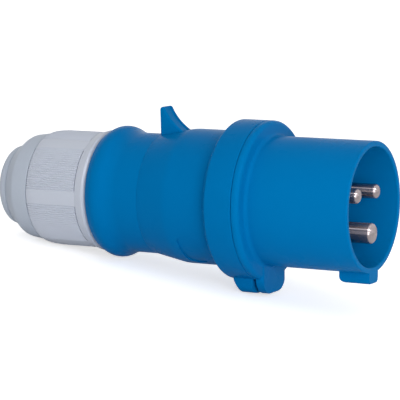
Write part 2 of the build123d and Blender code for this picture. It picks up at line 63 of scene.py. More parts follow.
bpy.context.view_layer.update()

# %% [markdown]
# The plug lies nose up, on its lug and its gland, so its axis leans. Each piece could be drawn leaning, but
# modelling is easier along a straight axis: everything below is drawn in millimetres in the plug's own frame,
# where X = 0 is the mouth of the sleeve and the plug reaches back along -X, and one matrix lays it down. The
# record's mount at the mouth says where that frame is, so the lean isn't written here a second time.

# %% The plug's own frame
MM = 0.001
mouth = next(mount for mount in record["mounts"] if mount["name"] == "keyed_sleeve")
ahead = Vector(mouth["axis"]).normalized()
across = Vector((0, 1, 0))
turn = Matrix((ahead, across, ahead.cross(across))).transposed()
LAY = Matrix.Translation(Vector(mouth["pos_m"])) @ turn.to_4x4()
LAY_MM = LAY @ Matrix.Scale(MM, 4)
print("the axis leans", round(math.degrees(math.asin(ahead.z)), 2), "degrees")

# %% [markdown]
# The camera comes first, because it decides how much detail each piece needs. A lens is easiest to place
# by where it looks from: an azimuth and an elevation about the plug, a distance, and a point to aim at.
# A long lens from about 0.76 m keeps the far end of the plug nearly as large as the near end. The angles are
# about the plug's own axis, so the camera leans with it.

# %% Camera
CAMERA_AZIMUTH = 28.3
CAMERA_ELEVATION = 7.1
CAMERA_DISTANCE = 763.0
CAMERA_TARGET = Vector((-65.31, 0, -1.40))
CAMERA_SENSOR = 36.0
PICTURE_SIZE = 400
FOCAL_PIXELS = 2220.0


def place_camera():
    """A camera in the plug's own frame, aimed at its target, level with the plug's axis."""
    azimuth, elevation = math.radians(CAMERA_AZIMUTH), math.radians(CAMERA_ELEVATION)
    back = Vector((math.sin(azimuth) * math.cos(elevation), -math.cos(azimuth) * math.cos(elevation),
                   math.sin(elevation)))
    right = Vector((0, 0, 1)).cross(back).normalized()
    axes = Matrix((right, back.cross(right), back)).transposed()
    data = bpy.data.cameras.new("camera")
    data.sensor_width = CAMERA_SENSOR
    data.lens = FOCAL_PIXELS * CAMERA_SENSOR / PICTURE_SIZE
    camera = bpy.data.objects.new("camera", data)
    bpy.context.scene.collection.objects.link(camera)
    spot = (CAMERA_TARGET + back * CAMERA_DISTANCE) * MM
    camera.matrix_world = LAY @ Matrix.Translation(spot) @ axes.to_4x4()
    bpy.context.scene.camera = camera
    return camera


print("lens", round(place_camera().data.lens, 1), "mm")

# %% [markdown]
# Colours are written as the hex values that a picture shows. Blender works in linear light, so one
# function turns them. Another adds a node with its settings and its links, so that a material reads as a
# short list of what it is made of. Patterns read Object coordinates, which stay with a piece as it moves, and
# are turned into the plug's own frame, so that they follow its axis.

# %% Colour and node helpers
def linear(code):
    """A hex colour such as 'BCC3CF' as linear red, green, blue and full alpha."""
    parts = [int(code[i:i + 2], 16) / 255 for i in (0, 2, 4)]
    return [c / 12.92 if c <= 0.04045 else ((c + 0.055) / 1.055) ** 2.4 for c in parts] + [1.0]


def add(tree, kind, settings=None, inputs=None):
    """A new node. settings are its own properties, inputs are values or sockets for its inputs."""
    node = tree.nodes.new(kind)
    for name, value in (settings or {}).items():
        setattr(node, name, value)
    for name, value in (inputs or {}).items():
        if isinstance(value, bpy.types.NodeSocket):
            tree.links.new(value, node.inputs[name])
        else:
            node.inputs[name].default_value = value
    return node


def new_material(name):
    """An empty node material and its output."""
    material = bpy.data.materials.new(name)
    material.use_nodes = True
    tree = material.node_tree
    tree.nodes.clear()
    return material, tree, tree.nodes.new("ShaderNodeOutputMaterial")


def plug_coordinates(tree):
    """Object coordinates turned into the plug's own frame."""
    place = add(tree, "ShaderNodeTexCoord").outputs["Object"]
    lean = (0, math.asin(ahead.z), 0)
    turned_place = add(tree, "ShaderNodeMapping", {"vector_type": "POINT"},
                       {"Vector": place, "Rotation": lean})
    return turned_place.outputs[0]


print("a mid grey, 808080, is", round(linear("808080")[0], 3), "in linear light")


# %% [markdown]
# The blue pieces are injection-moulded polyamide 6, a semi-gloss engineering plastic. Steel mould faces
# leave it almost smooth: soft reflections, a faint waviness a few millimetres long where it shrank as it
# cooled, and a very fine grain. The grain of a real mould is finer than a pixel here, so it is drawn as
# coarse as it needs to show. Both could be modelled, but they are a few hundredths of a millimetre deep at
# most, so a bump is enough. A slow noise varies the colour and the gloss a little, as handling does.
#
# Polyamide's IOR is about 1.53, and at a glancing angle it would reflect the white room over every edge of
# the blue as a haze. The real plug hardly shows that, so the specular level is set low.

# %% Moulded polyamide
NYLON_IOR = 1.53
NOISE_LOW, NOISE_HIGH = 0.3, 0.7  # nearly all of a noise's values lie between these
GLOSS_SPREAD = 0.1


def moulded(name, colour, shade, roughness, specular, wave_mm, wave, grain_mm, grain, glint="FFFFFF"):
    """A moulded plastic. wave_mm and grain_mm are how long the patterns are, wave and grain how deep."""
    material, tree, output = new_material(name)
    place = plug_coordinates(tree)
    slow = add(tree, "ShaderNodeTexNoise", None,
               {"Vector": place, "Scale": 1 / (wave_mm * MM), "Detail": 2.0})
    fine = add(tree, "ShaderNodeTexNoise", None,
               {"Vector": place, "Scale": 1 / (grain_mm * MM), "Detail": 3.0})
    tone = add(tree, "ShaderNodeMix", {"data_type": "RGBA"},
               {"Factor": slow.outputs["Fac"], "A": linear(colour), "B": linear(shade)})
    gloss = add(tree, "ShaderNodeMapRange", None,
                {"Value": slow.outputs["Fac"], "From Min": NOISE_LOW, "From Max": NOISE_HIGH,
                 "To Min": roughness * (1 - GLOSS_SPREAD), "To Max": roughness * (1 + GLOSS_SPREAD)})
    waves = add(tree, "ShaderNodeBump", None,
                {"Strength": 1.0, "Distance": wave * MM, "Height": slow.outputs["Fac"]})
    grains = add(tree, "ShaderNodeBump", None,
                 {"Strength": 1.0, "Distance": grain * MM, "Height": fine.outputs["Fac"],
                  "Normal": waves.outputs["Normal"]})
    shader = add(tree, "ShaderNodeBsdfPrincipled", None,
                 {"Base Color": tone.outputs["Result"], "Roughness": gloss.outputs["Result"],
                  "IOR": NYLON_IOR, "Specular IOR Level": specular, "Specular Tint": linear(glint),
                  "Normal": grains.outputs["Normal"]})
    tree.links.new(shader.outputs[0], output.inputs[0])
    return material


blue_nylon = moulded("blue_moulded_nylon", "0072B2", "0070AF", roughness=0.28, specular=0.02,
                     wave_mm=9.0, wave=0.015, grain_mm=0.35, grain=0.002, glint="3FA0DC")
handle_nylon = moulded("blue_moulded_nylon_handle", "006FAE", "006DAB", roughness=0.28, specular=0.02,
                       wave_mm=9.0, wave=0.02, grain_mm=0.35, grain=0.002, glint="3FA0DC")
dark_blue_nylon = moulded("dark_blue_moulded_nylon", "0668A6", "0666A3", roughness=0.42, specular=0.14,
                          wave_mm=9.0, wave=0.02, grain_mm=0.3, grain=0.004)
grey_nylon = moulded("grey_moulded_nylon", "C3C9D5", "C0C6D3", roughness=0.45, specular=0.25,
                     wave_mm=8.0, wave=0.02, grain_mm=0.3, grain=0.005)
# The dome's darker grey is painted shade, for the light that its back-facing side misses.
dome_nylon_painted_shade = moulded("grey_moulded_nylon_dome_painted_shade", "B5BECB", "B1BAC8", roughness=0.45, specular=0.2,
                     wave_mm=8.0, wave=0.02, grain_mm=0.3, grain=0.005)
natural_nylon = moulded("natural_moulded_nylon", "DCD9CE", "D7D4C8", roughness=0.45, specular=0.3,
                        wave_mm=7.0, wave=0.02, grain_mm=0.3, grain=0.006)
print("six moulded finishes")

# %% [markdown]
# The contact pins are turned brass with a thin plating of nickel. Nickel is a warm grey metal, and the
# lathe leaves fine rings round the pin, closer together than the picture shows, so they are drawn
# 0.25 mm apart. Such rings spread a reflection along the pin and not round it, so the shader is rougher
# along the axis than across it, which draws a highlight out into a line. The small screws are zinc-plated
# steel, a little bluer and duller.

# %% Plated metals
WAVE_PERIOD = math.tau / 20  # how far apart a Wave texture's bands are at a scale of 1
CLOUD_MM = 6.0
PLATING_SPREAD = 0.05
TANGENT_LEAN = 0.02  # so that the tangent isn't the same as the normal at a pin's flat end


def plated(name, colour, roughness, ring_mm, ring):
    """A turned and plated metal. The rings are ring_mm apart and ring deep."""
    material, tree, output = new_material(name)
    place = plug_coordinates(tree)
    rings = add(tree, "ShaderNodeTexWave", {"bands_direction": "X"},
                {"Vector": place, "Scale": WAVE_PERIOD / (ring_mm * MM), "Distortion": 0.2, "Detail": 1.0,
                 "Detail Scale": 2.0})
    cloud = add(tree, "ShaderNodeTexNoise", None,
                {"Vector": place, "Scale": 1 / (CLOUD_MM * MM), "Detail": 1.0})
    gloss = add(tree, "ShaderNodeMapRange", None,
                {"Value": cloud.outputs["Fac"], "From Min": NOISE_LOW, "From Max": NOISE_HIGH,
                 "To Min": roughness * (1 - PLATING_SPREAD), "To Max": roughness * (1 + PLATING_SPREAD)})
    bump = add(tree, "ShaderNodeBump", None,
               {"Strength": 1.0, "Distance": ring * MM, "Height": rings.outputs["Fac"]})
    along = add(tree, "ShaderNodeCombineXYZ", None, {"X": ahead.x, "Y": TANGENT_LEAN, "Z": ahead.z})
    shader = add(tree, "ShaderNodeBsdfPrincipled", None,
                 {"Base Color": linear(colour), "Metallic": 1.0, "Roughness": gloss.outputs["Result"],
                  "Anisotropic": 1.0, "Tangent": along.outputs["Vector"], "Normal": bump.outputs["Normal"]})
    tree.links.new(shader.outputs[0], output.inputs[0])
    return material


nickel = plated("nickel_plated_brass", "B0A4A6", roughness=0.24, ring_mm=0.25, ring=0.0004)
zinc = plated("zinc_plated_steel", "C4C8CC", roughness=0.32, ring_mm=0.25, ring=0.006)
print("two plated finishes")

# %% [markdown]
# The ring seal and the cable seal are moulded nitrile rubber: near black, matt, with a fine bloom that
# lightens it in patches. One noise drives both the patches and a slight unevenness.

# %% Rubber
RUBBER_ROUGHNESS = 0.75
RUBBER_IOR = 1.52
BLOOM_MM = 4.0
BLOOM_DEPTH = 0.01


def moulded_rubber():
    """A matt rubber with a bloom in patches."""
    material, tree, output = new_material("moulded_nitrile_rubber")
    place = plug_coordinates(tree)
    bloom = add(tree, "ShaderNodeTexNoise", None,
                {"Vector": place, "Scale": 1 / (BLOOM_MM * MM), "Detail": 4.0})
    tone = add(tree, "ShaderNodeMix", {"data_type": "RGBA"},
               {"Factor": bloom.outputs["Fac"], "A": linear("1B1B1C"), "B": linear("2A2A2B")})
    bump = add(tree, "ShaderNodeBump", None,
               {"Strength": 1.0, "Distance": BLOOM_DEPTH * MM, "Height": bloom.outputs["Fac"]})
    shader = add(tree, "ShaderNodeBsdfPrincipled", None,
                 {"Base Color": tone.outputs["Result"], "Roughness": RUBBER_ROUGHNESS, "IOR": RUBBER_IOR,
                  "Normal": bump.outputs["Normal"]})
    tree.links.new(shader.outputs[0], output.inputs[0])
    return material


rubber = moulded_rubber()
print("finish", rubber.name)

# %% [markdown]
# Each slot of the record has one of these finishes. Every imported node gets its finish now. The nodes that
# show from outside are replaced further down by smoother meshes of the same form. The handle is given a
# colour a shade darker than its slot's. The dome's grey is a shade darker than its slot's as painted shade,
# for the light it misses facing back.

# %% Finishes for the imported nodes
FINISH = {"blue_nylon": blue_nylon, "dark_blue_nylon": dark_blue_nylon, "grey_nylon": grey_nylon,
          "natural_nylon": natural_nylon, "nickel_plated_brass": nickel, "zinc_plated_steel": zinc,
          "black_rubber": rubber}
DARKER_FINISH = {"handle_shell": handle_nylon, "gland_dome": dome_nylon_painted_shade}
slot_of = {row["node"]: row["material_slot"] for row in record["subparts"]}


def finish_of(node):
    """A node's darker finish if it has one, and otherwise its slot's."""
    return DARKER_FINISH.get(node, FINISH[slot_of[node]])


for name, node in nodes.items():
    node.data.materials.clear()
    node.data.materials.append(finish_of(name))
print("finished", len(nodes), "packed nodes in", len(set(slot_of.values())), "slots")

# %% [markdown]
# Nearly every piece of a plug is a solid of revolution. A primitive cylinder could be cut and scaled ring by
# ring, but a designer draws half a section and turns it, and so does this script: an outline is drawn as a
# flat face, its corners are rounded with a vertex bevel, and a spin carries it round the axis. Where the
# outline touches the axis the poles are merged.

# %% Turned shapes
TURN_STEPS = 128
ROUND_STEPS = 6
MERGE = 1e-4  # points nearer than this are merged
SAME = 1e-5  # coordinates nearer than this are the same


def rounded_outline(bm, corners):
    """A flat face in the XZ plane. Each corner is (x, r) or (x, r, radius of its round)."""
    verts = [bm.verts.new((corner[0], 0, corner[1])) for corner in corners]
    bm.faces.new(verts)
    count = len(corners)
    for i, corner in enumerate(corners):
        if len(corner) < 3:
            continue
        here = Vector(corner[:2])
        before = (Vector(corners[i - 1][:2]) - here).normalized()
        after = (Vector(corners[(i + 1) % count][:2]) - here).normalized()
        half_turn = (math.pi - before.angle(after)) / 2
        bmesh.ops.bevel(bm, geom=[verts[i]], offset=corner[2] * math.tan(half_turn), offset_type="OFFSET",
                        segments=ROUND_STEPS, profile=0.5, affect="VERTICES", material=-1)


def turned(corners, steps=TURN_STEPS):
    """A closed bmesh turned about X."""
    bm = bmesh.new()
    rounded_outline(bm, corners)
    bmesh.ops.delete(bm, geom=bm.faces[:], context="FACES_ONLY")
    on_axis = [edge for edge in bm.edges if all(abs(v.co.z) < SAME for v in edge.verts)]
    bmesh.ops.delete(bm, geom=on_axis, context="EDGES")
    bmesh.ops.spin(bm, geom=bm.verts[:] + bm.edges[:], cent=(0, 0, 0), axis=(1, 0, 0), dvec=(0, 0, 0),
                   angle=math.tau, steps=steps, use_merge=True, use_duplicate=False)
    bmesh.ops.remove_doubles(bm, verts=bm.verts[:], dist=MERGE)
    bmesh.ops.recalc_face_normals(bm, faces=bm.faces[:])
    return bm


print("a full turn has", TURN_STEPS, "steps")

# %% [markdown]
# The lug, the key and the fin aren't turned. Each is an outline pushed out to a width, a prism. The same
# rounded outline serves, and an extrude gives it depth. Two or three prisms that cross, each with the
# outline that one side of the piece shows, leave only what they share, which rounds a lug on every side.

# %% Prisms, blocks and wedges
SECTOR_STEPS = 12


def prism(corners, depth, front=None, lying=False):
    """An outline pushed out to both sides of the XZ plane.

    With a front, the outline is a (y, z) section and the prism reaches back from there along X.
    Lying, the outline is an (x, y) plan and the prism stands along Z.
    """
    bm = bmesh.new()
    rounded_outline(bm, corners)
    bmesh.ops.translate(bm, verts=bm.verts[:], vec=(0, -depth / 2, 0))
    grown = bmesh.ops.extrude_face_region(bm, geom=bm.faces[:], use_keep_orig=True)
    bmesh.ops.translate(bm, verts=[v for v in grown["geom"] if isinstance(v, bmesh.types.BMVert)],
                        vec=(0, depth, 0))
    if front is not None:
        facing = Matrix.Rotation(math.radians(90), 4, "Z")
        bm.transform(Matrix.Translation((front - depth / 2, 0, 0)) @ facing)
    if lying:
        bm.transform(Matrix.Rotation(math.radians(-90), 4, "X"))
    bmesh.ops.recalc_face_normals(bm, faces=bm.faces[:])
    return bm


def block(low, high):
    """A box from its lowest to its highest corner."""
    bm = bmesh.new()
    size = [b - a for a, b in zip(low, high)]
    middle = [(a + b) / 2 for a, b in zip(low, high)]
    bmesh.ops.create_cube(bm, size=1, matrix=Matrix.Translation(middle) @ Matrix.Diagonal((*size, 1)))
    return bm


def around(bm, degrees, offset=(0, 0, 0)):
    """Moved off the axis, then turned about it, from 0 at +Y to 90 at +Z."""
    bm.transform(Matrix.Rotation(math.radians(degrees), 4, "X") @ Matrix.Translation(offset))
    return bm


def sector(front, rear, outer_r, middle, degrees, inner_r=0.0):
    """A wedge of a disc or ring about the axis, spun from a flat rectangle."""
    bm = bmesh.new()
    corners = [(front, inner_r, 0), (front, outer_r, 0), (rear, outer_r, 0), (rear, inner_r, 0)]
    bm.faces.new([bm.verts.new(corner) for corner in corners])
    bmesh.ops.spin(bm, geom=bm.faces[:], cent=(0, 0, 0), axis=(1, 0, 0), dvec=(0, 0, 0),
                   angle=math.radians(degrees), steps=SECTOR_STEPS, use_duplicate=False)
    bmesh.ops.recalc_face_normals(bm, faces=bm.faces[:])
    return around(bm, middle - degrees / 2)


def arc(middle, radius, start, end, steps):
    """Points on an arc about a middle, between two angles in degrees."""
    angles = [math.radians(start + (end - start) * i / steps) for i in range(steps + 1)]
    return [(middle[0] + radius * math.cos(a), middle[1] + radius * math.sin(a)) for a in angles]


print("a right angle drawn as an arc:", [(round(x, 2), round(y, 2)) for x, y in arc((0, 0), 1, 0, 90, 2)])

# %% [markdown]
# Ribs, lugs and cut-outs are joined to a turned body with Boolean modifiers, which keep one closed skin.
# Loose pieces pushed into each other would look the same, but their meshes would cross inside. The result
# is read back into a bmesh, and the helper objects are removed. A finished piece is laid down in its mesh,
# so its object stays at the origin, and rides on the body of the node that it stands for.

# %% Joining, cutting and finishing
def as_object(name, bm):
    """An object in the scene with a bmesh as its mesh."""
    mesh = bpy.data.meshes.new(name)
    bm.to_mesh(mesh)
    bm.free()
    thing = bpy.data.objects.new(name, mesh)
    bpy.context.scene.collection.objects.link(thing)
    return thing


def combined(bm, trims=(), joins=(), cuts=()):
    """bm trimmed to what it shares with the trims, with the joins added and the cuts taken away."""
    body = as_object("body", bm)
    helpers = [body]
    for operation, tools in (("INTERSECT", trims), ("UNION", joins), ("DIFFERENCE", cuts)):
        for tool in tools:
            helper = as_object("tool", tool)
            helpers.append(helper)
            step = body.modifiers.new(operation.lower(), "BOOLEAN")
            step.operation = operation
            step.solver = "EXACT"
            step.object = helper
    bpy.context.view_layer.update()
    made = bmesh.new()
    made.from_mesh(body.evaluated_get(bpy.context.evaluated_depsgraph_get()).to_mesh())
    for helper in helpers:
        bpy.data.objects.remove(helper)
    bmesh.ops.remove_doubles(made, verts=made.verts[:], dist=MERGE)
    return made


def finished(name, bm, stands_for, crease=32):
    """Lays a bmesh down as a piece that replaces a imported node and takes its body, slot and finish."""
    bm.transform(LAY_MM)
    piece = as_object(name, bm)
    piece.data.shade_smooth()
    piece.data.set_sharp_from_angle(angle=math.radians(crease))
    piece.data.materials.append(finish_of(stands_for))
    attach(piece, nodes[stands_for]["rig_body"])
    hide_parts(stands_for)
    print(name, len(piece.data.polygons), "faces")
    return piece


# %% [markdown]
# Under the flange stands a lug, which a socket's lid hooks behind. Its front half belongs to the sleeve
# housing and its rear half to the handle, and both are made by one function. Each is what three prisms
# share: its side, its section, which follows the flange and turns down at round corners, and its plan.
#
# Both halves start at one radius. In the sleeve housing that is inside the wall. In the handle it is inside
# the hollow socket, so the root of that half stands in the socket and crosses the housing's skirt there. It
# doesn't show from outside. Cutting the socket out again after the join would take it away.

# %% Half of the lug
FLANGE_R = 27.15
LUG_R = 31.5
LUG_WIDTH = 17.3
LUG_ROOT_R = FLANGE_R - 1
LUG_CORNER = 6.4
HEEL_CORNER = 2.8
LUG_EDGE = 1.0
INSIDE_R = 21.0  # where the outlines of the lug and the key start
PAST = 2.0  # how far a trimming prism reaches past what it trims
CORNER_STEPS = 8
FOOT_STEPS = 24


def lug_half(front, foot_rear, slope, front_round, rear_round, corner):
    """A half of the lug, from its front to the rear of its foot, and sloped up behind that."""
    rear, half = foot_rear - slope, LUG_WIDTH / 2
    side = [(front, -INSIDE_R), (front, -LUG_R, LUG_EDGE), (foot_rear, -LUG_R, LUG_EDGE)]
    if slope:
        side.append((rear, -LUG_ROOT_R))
    side.append((rear, -INSIDE_R))
    middle_y = half - corner
    meet = math.degrees(math.acos(middle_y / (LUG_R - corner)))
    middle_z = -(LUG_R - corner) * math.sin(math.radians(meet))
    section = [(half, -INSIDE_R), *arc((middle_y, middle_z), corner, 0, -meet, CORNER_STEPS)]
    section += arc((0, 0), LUG_R, -meet, meet - 180, FOOT_STEPS)[1:-1]
    section += [*arc((-middle_y, middle_z), corner, meet - 180, -180, CORNER_STEPS), (-half, -INSIDE_R)]
    plan = [(front, -half, front_round), (front, half, front_round), (rear, half, rear_round),
            (rear, -half, rear_round)]
    return combined(prism(side, LUG_WIDTH + PAST),
                    trims=[prism(section, front - rear + PAST, front=front + PAST / 2),
                           prism(plan, 2 * LUG_R + PAST, lying=True)])


print("the lug stands", round(LUG_R - FLANGE_R, 2), "mm out of the flange")

# %% [markdown]
# The sleeve housing is one moulding: the round sleeve, the front half of the flange, the skirt that
# plugs into the handle, the key rib at the mouth and the front half of the lug. The sleeve, flange and
# skirt are one turned outline, and the bayonet's teeth, key and lug are joined to it. The mouth's rim has
# small rounds, which catch the light.

# %% Sleeve housing
SLEEVE_R = 22.0
SLEEVE_BORE_R = 20.1
RIM_ROUND = 0.5
FLANGE_FRONT = -36.9
FLANGE_ROUND = 1.6
SLEEVE_SEAM = -39.4
SKIRT_R = 24.0
SKIRT_BORE_R = 21.6
SKIRT_END = -47.2
CARRIER_SEAT = -42.0
SEAL_FRONT = -44.6
SEAL_REAR = -46.2
SEAL_GROOVE_R = 22.7
KEY_WIDTH = 7.0
KEY_FOOT_R = 25.5
KEY_LENGTH = 11.0
KEY_CORNER = 1.7
KEY_REAR_ROUND = 2.2
BOTTOM = 270  # degrees about the axis, where the key points
TEETH = 3
TOOTH_FRONT = -40.6
TOOTH_REAR = -43.2
TOOTH_HEIGHT = 1.3
TOOTH_DEGREES = 20


def key():
    """The rib under the sleeve: a side outline that runs out in an arc, and a section with round corners."""
    half = KEY_WIDTH / 2
    side = [(0, -INSIDE_R), (0, -KEY_FOOT_R, RIM_ROUND), (-KEY_LENGTH, -KEY_FOOT_R, KEY_REAR_ROUND),
            (-KEY_LENGTH, -INSIDE_R)]
    section = [(half, -INSIDE_R), (half, -KEY_FOOT_R, KEY_CORNER), (-half, -KEY_FOOT_R, KEY_CORNER),
               (-half, -INSIDE_R)]
    return combined(prism(side, KEY_WIDTH + PAST), trims=[prism(section, KEY_LENGTH + PAST, front=PAST / 2)])


def sleeve_housing():
    """The turned sleeve, flange and skirt, with the key, the front of the lug and the teeth."""
    body = turned([
        (0, SLEEVE_BORE_R, RIM_ROUND), (0, SLEEVE_R, RIM_ROUND), (FLANGE_FRONT, SLEEVE_R, 1.5),
        (FLANGE_FRONT, FLANGE_R, FLANGE_ROUND), (SLEEVE_SEAM, FLANGE_R, 0.25), (SLEEVE_SEAM, SKIRT_R),
        (SEAL_FRONT, SKIRT_R), (SEAL_FRONT, SEAL_GROOVE_R), (SEAL_REAR, SEAL_GROOVE_R), (SEAL_REAR, SKIRT_R),
        (SKIRT_END, SKIRT_R, 0.5), (SKIRT_END, SKIRT_BORE_R), (CARRIER_SEAT, SKIRT_BORE_R),
        (CARRIER_SEAT, SLEEVE_BORE_R),
    ])
    lug = lug_half(FLANGE_FRONT + 0.3, SLEEVE_SEAM, 0, 1.1, 0.3, LUG_CORNER)
    teeth = [sector(TOOTH_FRONT, TOOTH_REAR, SKIRT_R + TOOTH_HEIGHT, BOTTOM + step * 360 / TEETH,
                    TOOTH_DEGREES, SKIRT_R - 1)
             for step in range(TEETH)]
    return combined(body, joins=[key(), lug, *teeth])


finished("sleeve_housing_moulding", sleeve_housing(), "sleeve_housing")

# %% [markdown]
# On top of the handle stands a fin, which a socket's latch can catch. Its back is nearly upright and its
# ramp is an arc, so it is a prism with that side outline. A bevel softens its rims, and a shallow groove
# down the ramp leaves a raised edge on both sides. The groove is cut later, together with the handle's other
# cut-outs, and runs out through the tip, because it would leave a step if it stopped there.

# %% The fin and its groove
WAIST_R = 20.8
FIN_WIDTH = 6.6
FIN_REAR = -79.0
FIN_FRONT = -69.6
FIN_TIP = (-78.05, 30.9)
FIN_LEAN = 0.3
FIN_BACK_R = 29.9
FIN_FOOT_R = 22.0
FIN_ROOT_R = WAIST_R - 1
FIN_SAG = 1.0
FIN_TIP_ROUND = 0.9
FIN_ROUND = 0.6
FIN_ROUND_STEPS = 5
GROOVE_DEPTH = 0.35
GROOVE_RIM = 1.2
RAMP_SHARES = (0.22, 0.35, 0.45, 0.55, 0.65, 0.75, 0.85, 0.95, 1.05)


def ramp_points(lift=0.0, shares=RAMP_SHARES):
    """The arc of the fin's ramp at some shares of its length, lifted off the surface or sunk under it."""
    tip, foot = Vector(FIN_TIP), Vector((FIN_FRONT, FIN_FOOT_R))
    chord = foot - tip
    up = Vector((-chord.y, chord.x)).normalized()
    return [tuple(tip + chord * t + up * (lift - FIN_SAG * 4 * t * (1 - t))) for t in shares]


def fin():
    """A side outline with an arc for its ramp, pushed out to the fin's width, with soft edges."""
    bm = prism([(FIN_FRONT, FIN_ROOT_R), (FIN_REAR, FIN_ROOT_R),
                (FIN_REAR - FIN_LEAN, FIN_BACK_R, FIN_TIP_ROUND), (*FIN_TIP, FIN_TIP_ROUND), *ramp_points()],
               FIN_WIDTH)
    bm.normal_update()
    rim = [edge for edge in bm.edges if any(v.co.z > WAIST_R for v in edge.verts)
           and abs(edge.verts[0].co.y - edge.verts[1].co.y) < SAME]
    bmesh.ops.bevel(bm, geom=rim, offset=FIN_ROUND, offset_type="OFFSET", segments=FIN_ROUND_STEPS,
                    profile=0.5, affect="EDGES", clamp_overlap=False, material=-1)
    return bm


def ramp_groove():
    """The shallow groove down the middle of the fin's ramp, out through its tip."""
    shares = [-0.2 + 0.1 * step for step in range(13)]
    return prism([*ramp_points(-GROOVE_DEPTH, shares), *reversed(ramp_points(2.0, shares))],
                 FIN_WIDTH - 2 * GROOVE_RIM)


print("the fin's tip is", round(FIN_TIP[1] - WAIST_R, 1), "mm above the waist")

# %% [markdown]
# The neck carries a coarse moulded thread for the gland nut. It shows when the nut is turned back. A screw
# modifier would do, but a spin that also moves along the axis makes the same ridge in one call: a small
# outline is carried round by a full turn for each pitch. The handle's socket has the other half of the
# bayonet, which is three ways in and the grooves that the teeth then close into, each cut by a wedge.

# %% The neck's thread and the bayonet's ways
HANDLE_REAR = -98.6
NECK_R = 16.6
THREAD_CREST_R = 17.4
THREAD_ROOT_R = NECK_R - 0.3
THREAD_PITCH = 3.0
THREAD_TURNS = 3.4
THREAD_STEPS = 72  # in a turn
THREAD_START = HANDLE_REAR - 2.0
THREAD_CREST = 0.5  # half the ridge's width at its crest
THREAD_ROOT = 1.1  # and at its root
SEAM = -39.6
BAYONET_PLAY = 0.3
BAYONET_TURN = 30
SOCKET_R = SKIRT_R + BAYONET_PLAY
WAY_DEGREES = TOOTH_DEGREES + 2


def neck_thread():
    """A ridge wound round the neck."""
    bm = bmesh.new()
    corners = [(THREAD_START + THREAD_ROOT, THREAD_ROOT_R), (THREAD_START + THREAD_CREST, THREAD_CREST_R),
               (THREAD_START - THREAD_CREST, THREAD_CREST_R), (THREAD_START - THREAD_ROOT, THREAD_ROOT_R)]
    face = bm.faces.new([bm.verts.new((x, 0, z)) for x, z in corners])
    steps = int(THREAD_TURNS * THREAD_STEPS)
    bmesh.ops.spin(bm, geom=[face], cent=(0, 0, 0), axis=(1, 0, 0),
                   dvec=(-THREAD_PITCH * THREAD_TURNS / steps, 0, 0), angle=-math.tau * THREAD_TURNS,
                   steps=steps, use_duplicate=False)
    bmesh.ops.recalc_face_normals(bm, faces=bm.faces[:])
    return bm


def bayonet_ways():
    """Three ways in, and the grooves that the teeth close into."""
    front, rear = TOOTH_FRONT + BAYONET_PLAY, TOOTH_REAR - BAYONET_PLAY
    outer_r, inner_r = SKIRT_R + TOOTH_HEIGHT + BAYONET_PLAY, SOCKET_R - 0.5
    cuts = []
    for step in range(TEETH):
        closed = BOTTOM + step * 360 / TEETH
        cuts.append(sector(front, rear, outer_r, closed - BAYONET_TURN / 2, WAY_DEGREES + BAYONET_TURN,
                           inner_r))
        cuts.append(sector(SEAM + 1, rear, outer_r, closed - BAYONET_TURN, WAY_DEGREES, inner_r))
    return cuts


print("the thread has", THREAD_TURNS, "turns of", THREAD_PITCH, "mm")

# %% [markdown]
# The handle is the second blue moulding. Its outline holds the rear half of the flange, the grip with its
# waist, the bead, the neck for the gland's thread and the hollow for the wires, all turned in one piece. The
# fin, the lug's sloped heel and the thread are joined on. On the grip's lower near side is a bare sunk
# panel with round corners. A flat cutter would leave it deeper in its middle than at its sides, so the cutter
# is a ring about the axis, trimmed to the panel's plan, which keeps one depth all over.

# %% Handle
FLANGE_REAR = -50.6
FLANGE_STEP = 1.3  # the chamfer at the flange's rear
GRIP_R = 23.14
GRIP_END = -67.2
TAPER_END = -78.4
WAIST_FRONT = -78.7
WAIST_REAR = -90.0
BEAD_PEAK = -94.5
BEAD_R = 23.75
HANDLE_REAR_R = 21.5
NECK_END = -112.6
NECK_BORE_R = 14.0
THROAT_R = 11.6
THROAT_FRONT = -99.1
CAGE_FRONT = -103.2
HOLLOW_REAR = -95.1
HOLLOW_WAIST = -78.5
SOCKET_END = -47.5
WALL = 2.5
LUG_NOTCH = 1.1
HEEL_LENGTH = 4.2
HEEL_SLOPE = 3.2
LABEL_FRONT = -56.6
LABEL_REAR = -64.0
LABEL_HALF = 7.7
LABEL_DEPTH = 0.45
LABEL_DEGREES_ROUND = 229.5
LABEL_STAMP = 20  # how tall the prism is that trims the panel's cutter


def label_recess():
    """The bare sunk panel's cutter, as a ring trimmed by a prism that points outwards."""
    floor_r, over_r = GRIP_R - LABEL_DEPTH, GRIP_R + 1
    ring = turned([(LABEL_FRONT + 1, floor_r), (LABEL_FRONT + 1, over_r), (LABEL_REAR - 1, over_r),
                   (LABEL_REAR - 1, floor_r)], steps=2 * TURN_STEPS)
    plan = [(LABEL_FRONT, -LABEL_HALF, 3.0), (LABEL_FRONT, LABEL_HALF, 3.0), (LABEL_REAR, LABEL_HALF, 2.0),
            (LABEL_REAR, -LABEL_HALF, 3.4)]
    stamp = around(prism(plan, LABEL_STAMP, lying=True), LABEL_DEGREES_ROUND - 90, (0, 0, GRIP_R))
    return combined(ring, trims=[stamp])


